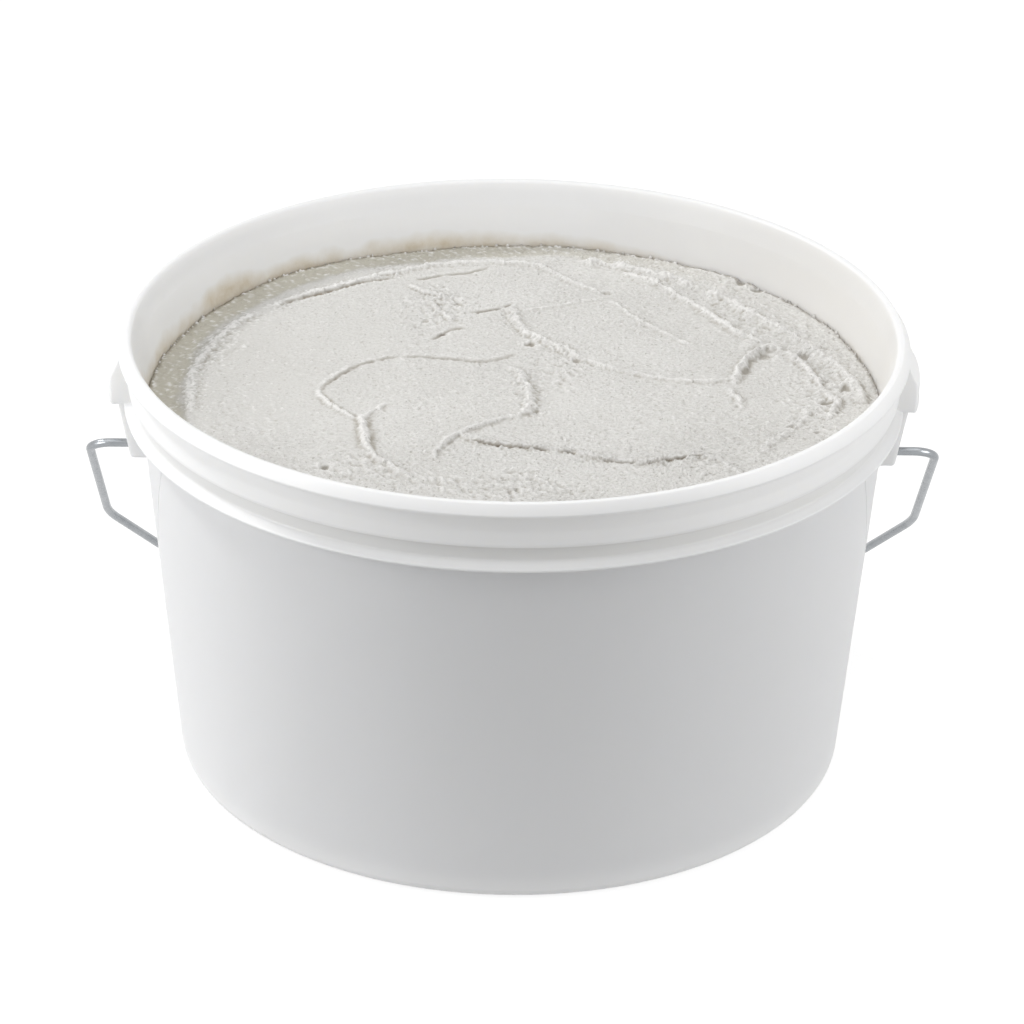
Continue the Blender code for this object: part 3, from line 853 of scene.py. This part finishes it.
def grain_share(x, y):
    """How sandy the trowelled surface is: least on the left, most towards the front."""
    share = 0.6 + 0.45 * ramp(x, -80, -10) + 0.35 * ramp(-y, 15, 60)
    return share * (1 + 0.3 * noise(x, y, 28.0, 18))


def trough_depth(x, y):
    """Depth of the channel along the wall at each point's side of the tub."""
    depth = TROUGH_DEPTH * (1 - 0.8 * ramp(y, 20, 105)) * (1 - 0.5 * ramp(x, 20, 100))
    return depth * (1 + 0.25 * ring_noise(x, y, 0.15, 3))


def paste_relief(x, y, edge):
    """Height of the trowelled surface over the paste's level, with its trough along the wall, and how
    much painted shade each point takes for lying in a crack or in a gap at the wall."""
    relief = PLATEAU_RISE + layered(x, y, SWELLS)
    from_wall = np.maximum(edge - np.hypot(x, y), 0)
    width = TROUGH_WIDTH * (1 + 0.25 * ring_noise(x, y, 0.2, 4))
    relief -= trough_depth(x, y) * np.exp(-(from_wall / width) ** 2.5)
    add_trowel_lines(x, y, relief)
    rough = np.maximum(patch_share(x, y), 0.45 * wall_zone(x, y, edge))
    along, across = 0.6 * x - 0.8 * y, 0.8 * x + 0.6 * y
    relief += rough * layered(x, y, TEARS)
    relief += rough * (0.45 * noise(along / 2.5, across, 1.6, 9) + 0.3 * crumbs(x, y, 1.6, 7, 0.4))
    grain = grain_share(x, y)
    relief += grain * layered(x, y, GRAINS)
    relief += grain * (0.1 * noise(along / 5.0, across, 1.3, 19) + 0.4 * crumbs(x, y, 1.5, 20, 0.14))
    relief -= grain * 0.5 * crumbs(x, y, 1.5, 24, 0.12)
    relief -= (0.12 * grain + 0.4 * rough) * ramp(noise(x, y, 2.2, 14), 0.5, 0.9)
    dark = add_cracks(x, y, relief)
    add_pits(x, y, relief)
    contact = np.exp(-(from_wall / CONTACT_WIDTH) ** 2)
    beads = crumbs(x, y, 1.5, 17, 0.55)
    relief += contact * (1.6 * beads - 0.3)
    # painted shade in the gaps between the crumbs where the paste meets the wall
    dark = np.maximum(dark, 0.55 * contact * np.clip(1 - 2.5 * beads, 0, 1))
    return relief, dark


def disc_grid(cells):
    """A square grid bent into a disc of radius 1 with even cells."""
    line = np.linspace(-1, 1, cells + 1)
    a, b = np.meshgrid(line, line, indexing="ij")
    swap = np.abs(b) > np.abs(a)
    radius = np.where(swap, b, a)
    share = np.where(swap, a, b) / np.where(radius == 0, 1, radius)
    turn = np.where(swap, np.pi / 2 - np.pi / 4 * share, np.pi / 4 * share)
    return radius * np.cos(turn), radius * np.sin(turn)


def blurred(grid, half):
    """Mean of a grid over a square window."""
    for axis in (0, 1):
        width = [(half + 1, half) if i == axis else (0, 0) for i in (0, 1)]
        total = np.cumsum(np.pad(grid, width, mode="edge"), axis=axis)
        size = grid.shape[axis]
        high = np.take(total, np.arange(2 * half + 1, 2 * half + 1 + size), axis=axis)
        low = np.take(total, np.arange(size), axis=axis)
        grid = (high - low) / (2 * half + 1)
    return grid


def paste_mesh():
    """Points and faces of the paste, and for each point how proud of its surroundings it stands, how
    sandy it is, how much painted shade it takes for lying in a crack, in a gap at the wall or in the
    trough, and how damp it is."""
    edge = float(inner_radius(fill_z)) - TOUCH_GAP
    unit_x, unit_y = disc_grid(PASTE_CELLS)
    x, y = (unit_x * edge).ravel(), (unit_y * edge).ravel()
    relief, dark = paste_relief(x, y, edge)
    z = fill_z + relief
    # where the channel along the wall takes painted shade, strongest at the left
    trough = wall_zone(x, y, edge) * ramp(-x, -20, 90)
    damp = wall_zone(x, y, edge) * ramp(0.5 * y - x, -60, 100)
    marks = {"crack": dark, "trough": trough, "damp": damp, "grain": grain_share(x, y)}
    side = PASTE_CELLS + 1
    number = np.arange(side * side).reshape(side, side)
    rim = np.concatenate([number[:-1, 0], number[-1, :-1], number[:0:-1, -1], number[0, :0:-1]])
    seat = (inner_radius(z[rim]) - TOUCH_GAP) / edge
    x[rim] *= seat
    y[rim] *= seat
    heights = z.reshape(side, side)
    marks["proud"] = (heights - blurred(heights, PROUD_CELLS)).ravel()
    points = np.stack([x, y, z], axis=1)
    faces = np.stack([number[:-1, :-1], number[1:, :-1], number[1:, 1:], number[:-1, 1:]], axis=-1)
    faces = faces.reshape(-1, 4).tolist()
    bottom_z = floor_z + TOUCH_GAP
    corner_z = bottom_z + FLOOR_CORNER
    corner_r = float(inner_radius(corner_z)) - TOUCH_GAP
    skirt_z = fill_z - 4 * TROUGH_DEPTH
    profile = [(float(inner_radius(skirt_z)) - TOUCH_GAP, skirt_z)]
    profile += arc((corner_r - FLOOR_CORNER, corner_z), FLOOR_CORNER, 0, -90, SKIRT_STEPS)
    turn = np.arctan2(unit_y.ravel()[rim], unit_x.ravel()[rim])
    above = rim
    for radius, height in profile:
        start = len(points)
        level = np.full(len(rim), height)
        ring = np.stack([radius * np.cos(turn), radius * np.sin(turn), level], axis=1)
        points = np.concatenate([points, ring])
        below = np.arange(start, start + len(rim))
        faces += np.stack([below, np.roll(below, -1), np.roll(above, -1), above], axis=1).tolist()
        above = below
    middle = len(points)
    points = np.concatenate([points, [[0.0, 0.0, bottom_z]]])
    faces += [(middle, b, a) for a, b in zip(above.tolist(), np.roll(above, -1).tolist())]
    hidden = np.zeros(len(points) - side * side)
    return points, faces, {name: np.concatenate([values, hidden]) for name, values in marks.items()}


def make_paste():
    points, faces, marks = paste_mesh()
    paste = mesh_object("paste", points, faces)
    for name, values in marks.items():
        attribute = paste.data.attributes.new(name, "FLOAT", "POINT")
        attribute.data.foreach_set("value", values.astype(np.float32))
    paste.data.materials.append(paste_material())
    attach(paste, "tub")
    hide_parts("microcement_fill")


# Materials

def new_material(name):
    made = bpy.data.materials.new(name)
    made.use_nodes = True
    tree = made.node_tree
    return made, tree, tree.nodes["Principled BSDF"]


def feed(tree, target, inputs):
    """Set a node's inputs to plain values, or link them where a socket is given."""
    for key, value in inputs.items():
        if isinstance(value, bpy.types.NodeSocket):
            tree.links.new(value, target.inputs[key])
        else:
            target.inputs[key].default_value = value


def node(tree, kind, inputs=None, **settings):
    """A shader node with its settings and inputs."""
    made = tree.nodes.new(kind)
    for key, value in settings.items():
        setattr(made, key, value)
    feed(tree, made, inputs or {})
    return made


def noise_node(tree, vector, scale, detail=4.0, roughness=0.55):
    settings = {"Vector": vector, "Scale": scale, "Detail": detail, "Roughness": roughness}
    return node(tree, "ShaderNodeTexNoise", settings).outputs["Fac"]


def spread(tree, value, low, high, to_low=0.0, to_high=1.0):
    """Value carried from one range to another, and kept inside it."""
    settings = {"Value": value, "From Min": low, "From Max": high, "To Min": to_low, "To Max": to_high}
    return node(tree, "ShaderNodeMapRange", settings).outputs["Result"]


def maths(tree, operation, first, second=0.0):
    return node(tree, "ShaderNodeMath", {0: first, 1: second}, operation=operation).outputs["Value"]


def times(tree, first, second):
    return maths(tree, "MULTIPLY", first, second)


def mixed(tree, factor, one, two):
    """Two colours mixed by a factor."""
    one, two = [tone if isinstance(tone, bpy.types.NodeSocket) else (*tone, 1) for tone in (one, two)]
    return node(tree, "ShaderNodeMix", {0: factor, 6: one, 7: two}, data_type="RGBA").outputs[2]


def bump(tree, height, distance, strength):
    settings = {"Height": height, "Distance": distance, "Strength": strength}
    return node(tree, "ShaderNodeBump", settings).outputs["Normal"]


def place_of(tree):
    return tree.nodes.new("ShaderNodeTexCoord").outputs["Object"]


def inner_side(tree, radius, z):
    """1 on the inside of the tub's wall, from just below the paste's level up, and 0 elsewhere."""
    wall = float(inner_radius(collar_z))
    flare = (float(inner_radius(TUB_HEIGHT)) - wall) / collar_depth
    above = maths(tree, "SUBTRACT", z, collar_z * MM)
    straightened = maths(tree, "SUBTRACT", radius, times(tree, above, flare))
    inside = spread(tree, straightened, (wall + 1.2) * MM, (wall + 0.6) * MM)
    return times(tree, inside, spread(tree, z, (fill_z - 6) * MM, (fill_z - 4) * MM))


def paste_film(tree, place, x, y, z):
    """How thick the film of paste on the wall is: high at the left and back, thin at the right."""
    leftness = maths(tree, "SUBTRACT", times(tree, y, 0.55), x)
    side = spread(tree, leftness, -20 * MM, 120 * MM, 0.12, 1.0)
    wave = spread(tree, noise_node(tree, place, 30.0, 3.0), 0.35, 0.65, 0.3, 1.0)
    reach = times(tree, times(tree, wave, side), FILM_REACH * MM)
    height = maths(tree, "SUBTRACT", z, fill_z * MM)
    film = spread(tree, maths(tree, "SUBTRACT", reach, height), -0.2 * FILM_EDGE * MM, FILM_EDGE * MM)
    smear = spread(tree, noise_node(tree, place, 160.0, 5.0, 0.65), 0.25, 0.7, 0.45, 1.0)
    haze = spread(tree, x, 20 * MM, 110 * MM, 0.0, 0.2)
    return maths(tree, "MAXIMUM", times(tree, film, smear), haze)


def collar_groove_shade_mask(tree, radius, z):
    """Where the groove above the collar's lower ring takes painted shade: 1 in the groove, and 0 on what
    stands out beside it.
    """
    lip_z = collar_z + RING_HEIGHT + GROOVE_HEIGHT
    groove_r = RIM_RADIUS - GROOVE_INSET
    below_lip = spread(tree, z, (lip_z + 0.4) * MM, (lip_z - 0.6) * MM)
    above_ring = spread(tree, z, (collar_z + 1.6) * MM, (collar_z + 3.2) * MM)
    deep = spread(tree, radius, (groove_r + 1.8) * MM, (groove_r + 0.4) * MM)
    return times(tree, times(tree, below_lip, above_ring), deep)


def plastic_material():
    """White polypropylene, with a film of paste inside its wall and painted shade in its groove."""
    made, tree, shader = new_material("white_polypropylene")
    place = place_of(tree)
    x, y, z = node(tree, "ShaderNodeSeparateXYZ", {"Vector": place}).outputs
    radius = maths(tree, "SQRT", maths(tree, "ADD", times(tree, x, x), times(tree, y, y)))
    inside = inner_side(tree, radius, z)
    film = times(tree, inside, paste_film(tree, place, x, y, z))
    outside = spread(tree, inside, 1.0, 0.0, 0.0, GROOVE_PAINTED_SHADE_SHARE)
    # painted shade: the collar's groove darkened, on the outside of the tub only
    groove = times(tree, outside, collar_groove_shade_mask(tree, radius, z))
    colour = mixed(tree, noise_node(tree, place, 18.0, 3.0), *PLASTIC_TONES)
    colour = mixed(tree, film, colour, FILM_TONE)
    colour = mixed(tree, groove, colour, GROOVE_PAINTED_SHADE_TONE)
    scuff = spread(tree, noise_node(tree, place, 55.0, 6.0, 0.6), 0.3, 0.7, 0.36, 0.46)
    peel = noise_node(tree, place, 420.0, 2.0)
    feed(tree, shader, {
        "Base Color": colour,
        "Roughness": maths(tree, "ADD", scuff, times(tree, film, 0.35)),
        "IOR": 1.49,
        "Subsurface Weight": 0.6,
        "Subsurface Radius": (1.0, 0.97, 0.9),
        "Subsurface Scale": 6 * MM,
        "Normal": bump(tree, peel, 0.06 * MM, 0.6),
    })
    return made


def wire_material():
    """Bright galvanised steel wire."""
    made, tree, shader = new_material("galvanised_wire")
    place = place_of(tree)
    spangle = noise_node(tree, place, 210.0, 3.0)
    streak = noise_node(tree, place, 600.0, 4.0)
    feed(tree, shader, {
        "Base Color": mixed(tree, spread(tree, spangle, 0.3, 0.7), *WIRE_TONES),
        "Metallic": 1.0,
        "Roughness": spread(tree, streak, 0.25, 0.75, 0.24, 0.34),
        "Normal": bump(tree, streak, 0.03 * MM, 0.5),
    })
    return made


def paste_material():
    """Damp, sandy cement paste, with painted highlight on its crests and painted shade, darker and
    browner, in its hollows, cracks and the channel along the wall.
    """
    made, tree, shader = new_material("microcement")
    place = place_of(tree)
    proud, damp, trough, grain, crack = [
        node(tree, "ShaderNodeAttribute", attribute_name=name).outputs["Fac"]
        for name in ("proud", "damp", "trough", "grain", "crack")
    ]
    cloud = noise_node(tree, place, 22.0, 4.0)
    # the paste pales with its sand; its darker tone towards the left is partly painted shade
    colour = mixed(tree, spread(tree, grain, 0.35, 1.0), SMOOTH_SHADED_TONE, SANDY_TONE)
    colour = mixed(tree, spread(tree, grain, 1.0, 1.5, 0.0, 0.8), colour, COARSE_TONE)
    colour = mixed(tree, spread(tree, cloud, 0.3, 0.7, 0.25, 0.0), colour, CLOUD_TONE)
    # painted shade in the channel along the wall
    colour = mixed(tree, times(tree, trough, 0.85), colour, TROUGH_SHADE_TONE)
    colour = mixed(tree, damp, colour, DAMP_TONE)
    # painted highlight on the crests, then painted shade in the hollows, less where damp
    colour = mixed(tree, spread(tree, proud, 0.03, 0.26), colour, CREST_HIGHLIGHT_TONE)
    hollow = times(tree, spread(tree, proud, -0.07, -0.55), spread(tree, grain, 0.6, 1.2, 0.8, 0.5))
    dry = spread(tree, damp, 0.0, 1.0, 1.0, 0.5)
    colour = mixed(tree, times(tree, hollow, dry), colour, HOLLOW_SHADE_TONE)
    # painted shade over the paste's brown in the cracks and at the wall's gap
    colour = mixed(tree, crack, colour, CRACK_SHADE_TONE)
    sandiness = maths(tree, "MINIMUM", grain, 1.0)
    sand = noise_node(tree, place, 950.0, 4.0, 0.65)
    sandy = times(tree, spread(tree, sand, 0.35, 0.65, 0.38, 0.0), sandiness)
    colour = mixed(tree, sandy, colour, GRAIN_TONE)
    speck = spread(tree, noise_node(tree, place, 900.0, 3.0, 0.6), 0.62, 0.68, 0.0, 0.55)
    colour = mixed(tree, times(tree, speck, sandiness), colour, SPECK_TONE)
    feed(tree, shader, {
        "Base Color": colour,
        "Roughness": spread(tree, cloud, 0.3, 0.7, 0.78, 0.92),
        "Specular IOR Level": 0.35,
        "Normal": bump(tree, times(tree, sand, grain), 1.1 * MM, 0.8),
    })
    return made


# Studio

def seen_rays(tree):
    """1 for rays that see the white surroundings themselves, and 0 for those that only light."""
    path = tree.nodes.new("ShaderNodeLightPath").outputs
    shown = maths(tree, "MAXIMUM", path["Is Camera Ray"], path["Is Glossy Ray"])
    return maths(tree, "MAXIMUM", shown, path["Is Transmission Ray"])


def make_world():
    world = bpy.data.worlds.new("studio")
    bpy.context.scene.world = world
    world.use_nodes = True
    tree = world.node_tree
    strength = spread(tree, seen_rays(tree), 0.0, 1.0, AMBIENT, 1.0)
    feed(tree, tree.nodes["Background"], {"Color": (1, 1, 1, 1), "Strength": strength})


def make_floor():
    """A white floor that shows the object's shadow softly."""
    corners = [(-1, -1), (1, -1), (1, 1), (-1, 1)]
    mesh = bpy.data.meshes.new("floor")
    mesh.from_pydata([(FLOOR_HALF * x, FLOOR_HALF * y, 0) for x, y in corners], [], [(0, 1, 2, 3)])
    floor = new_object("floor", mesh)
    made, tree, shader = new_material("floor_white")
    tree.nodes.remove(shader)
    shown = seen_rays(tree)
    away = node(tree, "ShaderNodeVectorMath", {0: place_of(tree)}, operation="LENGTH").outputs["Value"]
    pool_level = spread(tree, away, POOL_NEAR, POOL_FAR, POOL_GLOW, 0.0)
    pool = node(tree, "ShaderNodeEmission", {"Color": (1, 1, 1, 1), "Strength": pool_level})
    glow = node(tree, "ShaderNodeEmission", {"Color": (1, 1, 1, 1), "Strength": FLOOR_GLOW})
    matt = node(tree, "ShaderNodeBsdfDiffuse", {"Color": FLOOR_TONE})
    bounce = node(tree, "ShaderNodeAddShader", {0: matt.outputs[0], 1: pool.outputs[0]})
    pale = node(tree, "ShaderNodeAddShader", {0: matt.outputs[0], 1: glow.outputs[0]})
    both = node(tree, "ShaderNodeMixShader", {0: shown, 1: bounce.outputs[0], 2: pale.outputs[0]})
    feed(tree, tree.nodes["Material Output"], {"Surface": both.outputs[0]})
    mesh.materials.append(made)


def make_sun(name, towards, level, angle):
    """A soft distant lamp; a level of 1 renders a white surface that faces it as white."""
    data = bpy.data.lights.new(name, "SUN")
    data.energy = level * math.pi
    data.angle = math.radians(angle)
    lamp = new_object(name, data)
    lamp.rotation_euler = Vector(towards).to_track_quat("Z", "Y").to_euler()


def make_softbox(name, place, level, size):
    """A soft lamp near the tub; a level of 1 renders a white surface in the tub's middle about white."""
    data = bpy.data.lights.new(name, "AREA")
    data.shape = "DISK"
    data.size = size
    reach = Vector(place) - Vector((0, 0, TUB_HEIGHT / 2 * MM))
    data.energy = level * math.pi ** 2 * reach.length_squared
    lamp = new_object(name, data)
    lamp.location = place
    lamp.rotation_euler = reach.to_track_quat("Z", "Y").to_euler()


def make_studio():
    make_world()
    make_floor()
    for name, towards, level, angle in SUNS:
        make_sun(name, towards, level, angle)
    for name, place, level, size in SOFTBOXES:
        make_softbox(name, place, level, size)


make_camera()
make_tub()
make_bail()
make_paste()
make_studio()
bpy.context.scene.view_settings.view_transform = "Standard"
